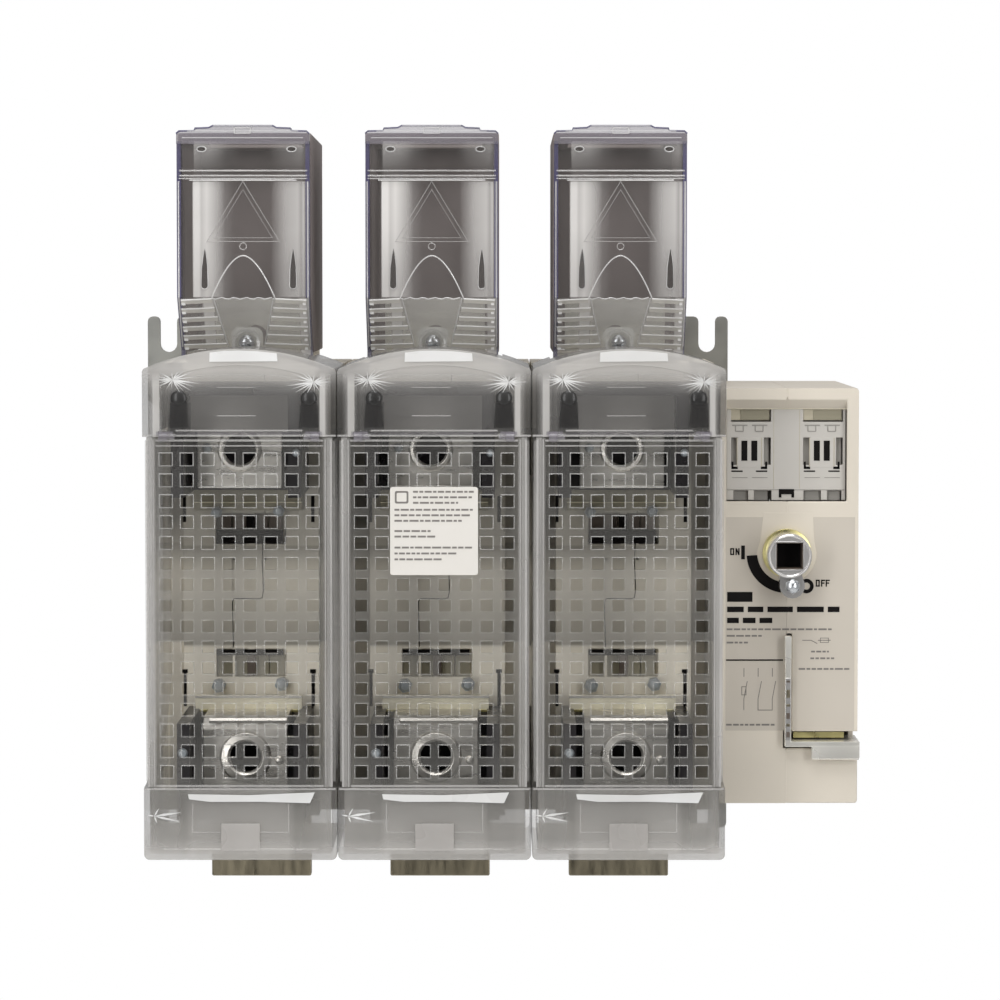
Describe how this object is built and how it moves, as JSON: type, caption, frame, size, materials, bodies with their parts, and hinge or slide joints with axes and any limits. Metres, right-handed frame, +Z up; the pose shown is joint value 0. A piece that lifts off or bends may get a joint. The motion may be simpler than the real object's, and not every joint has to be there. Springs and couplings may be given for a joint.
{
  "type": "fused disconnect switch",
  "caption": "Panel-mounted fused disconnect switch: bays for bolt-in fuses under hinged clear covers, clear line-side shrouds, cream side mechanism with a square shaft coupling.",
  "frame": {"origin": "on the rear face of the mounting plate, behind the middle pole, at half the height between the ends of the covers", "axes": "+X towards the side with the operating mechanism (the viewer's right), +Y back into the panel, +Z up towards the line side"},
  "size_m": [0.4141, 0.2426, 0.4406],
  "materials": {
    "cream_body": "fine matt moulded thermoset",
    "clear_cover": "clear polycarbonate, hazy between the vent squares",
    "clear_cap": "clear polycarbonate",
    "dark_shroud": "dark brown-grey moulded plastic",
    "tin_plated": "tin-plated copper, satin",
    "black_insulator": "black moulded plastic",
    "grey_holder": "light grey moulded plastic",
    "zinc_steel": "zinc-plated steel",
    "yellow_bush": "yellow-passivated",
    "chrome_coupling": "bright plated"
  },
  "bodies": {
    "frame": {"mounting_plate": "zinc_steel", "pole_1_shell_left": "cream_body", "pole_1_shell_right": "cream_body", "pole_1_upper_cap": "clear_cap", "pole_1_lower_cap": "clear_cap", "pole_1_upper_fuse_contact": "tin_plated", "pole_1_lower_fuse_contact": "tin_plated", "pole_1_upper_insulator": "black_insulator", "pole_1_lower_insulator": "black_insulator", "pole_1_line_terminal": "tin_plated", "pole_1_load_terminal": "tin_plated", "pole_1_rear_shroud": "dark_shroud", "pole_1_shroud_lid": "clear_cap", "pole_1_shroud_screw": "zinc_steel", "pole_2_shell_left": "cream_body", "pole_2_shell_right": "cream_body", "pole_2_upper_cap": "clear_cap", "pole_2_lower_cap": "clear_cap", "pole_2_upper_fuse_contact": "tin_plated", "pole_2_lower_fuse_contact": "tin_plated", "pole_2_upper_insulator": "black_insulator", "pole_2_lower_insulator": "black_insulator", "pole_2_line_terminal": "tin_plated", "pole_2_load_terminal": "tin_plated", "pole_2_rear_shroud": "dark_shroud", "pole_2_shroud_lid": "clear_cap", "pole_2_shroud_screw": "zinc_steel", "pole_3_shell_left": "cream_body", "pole_3_shell_right": "cream_body", "pole_3_upper_cap": "clear_cap", "pole_3_lower_cap": "clear_cap", "pole_3_upper_fuse_contact": "tin_plated", "pole_3_lower_fuse_contact": "tin_plated", "pole_3_upper_insulator": "black_insulator", "pole_3_lower_insulator": "black_insulator", "pole_3_line_terminal": "tin_plated", "pole_3_load_terminal": "tin_plated", "pole_3_rear_shroud": "dark_shroud", "pole_3_shroud_lid": "clear_cap", "pole_3_shroud_screw": "zinc_steel", "housing_left": "cream_body", "housing_right": "cream_body", "aux_contact_holder": "grey_holder", "shaft_bush": "yellow_bush", "tie_rod_upper": "zinc_steel", "tie_rod_lower": "zinc_steel"},
    "drive": {"shaft_coupling": "chrome_coupling", "spindle_crank": "zinc_steel", "clamp_screw": "zinc_steel"},
    "carriage": {"contact_carriage": "black_insulator", "pole_1_upper_bridge": "tin_plated", "pole_1_lower_bridge": "tin_plated", "pole_2_upper_bridge": "tin_plated", "pole_2_lower_bridge": "tin_plated", "pole_3_upper_bridge": "tin_plated", "pole_3_lower_bridge": "tin_plated"},
    "padlock": {"padlock_slide": "zinc_steel"},
    "cover_1": {"pole_1_fuse_cover": "clear_cover"},
    "cover_2": {"pole_2_fuse_cover": "clear_cover"},
    "cover_3": {"pole_3_fuse_cover": "clear_cover"}
  },
  "joints": [
    {"name": "shaft_turn", "type": "hinge", "parent": "frame", "child": "drive", "pos_m": [0.197, -0.18, 0.0234], "axis": [0, 1, 0], "range_deg": [0, 90]},
    {"name": "carriage_slide", "type": "slide", "parent": "frame", "child": "carriage", "axis": [0, 0, 1], "range_m": [0, 0.01697]},
    {"name": "cover_1_hinge", "type": "hinge", "parent": "frame", "child": "cover_1", "pos_m": [-0.106, -0.24, 0.09165], "axis": [-1, 0, 0], "range_deg": [0, 110]},
    {"name": "cover_2_hinge", "type": "hinge", "parent": "frame", "child": "cover_2", "pos_m": [0, -0.24, 0.09165], "axis": [-1, 0, 0], "range_deg": [0, 110]},
    {"name": "cover_3_hinge", "type": "hinge", "parent": "frame", "child": "cover_3", "pos_m": [0.106, -0.24, 0.09165], "axis": [-1, 0, 0], "range_deg": [0, 110]},
    {"name": "padlock_pull", "type": "slide", "parent": "frame", "child": "padlock", "axis": [0, -1, 0], "range_m": [0, 0.015]}
  ],
  "couplings": [
    {"joint": "shaft_turn", "follows": "carriage_slide", "rad_per_m": 92.56}
  ]
}
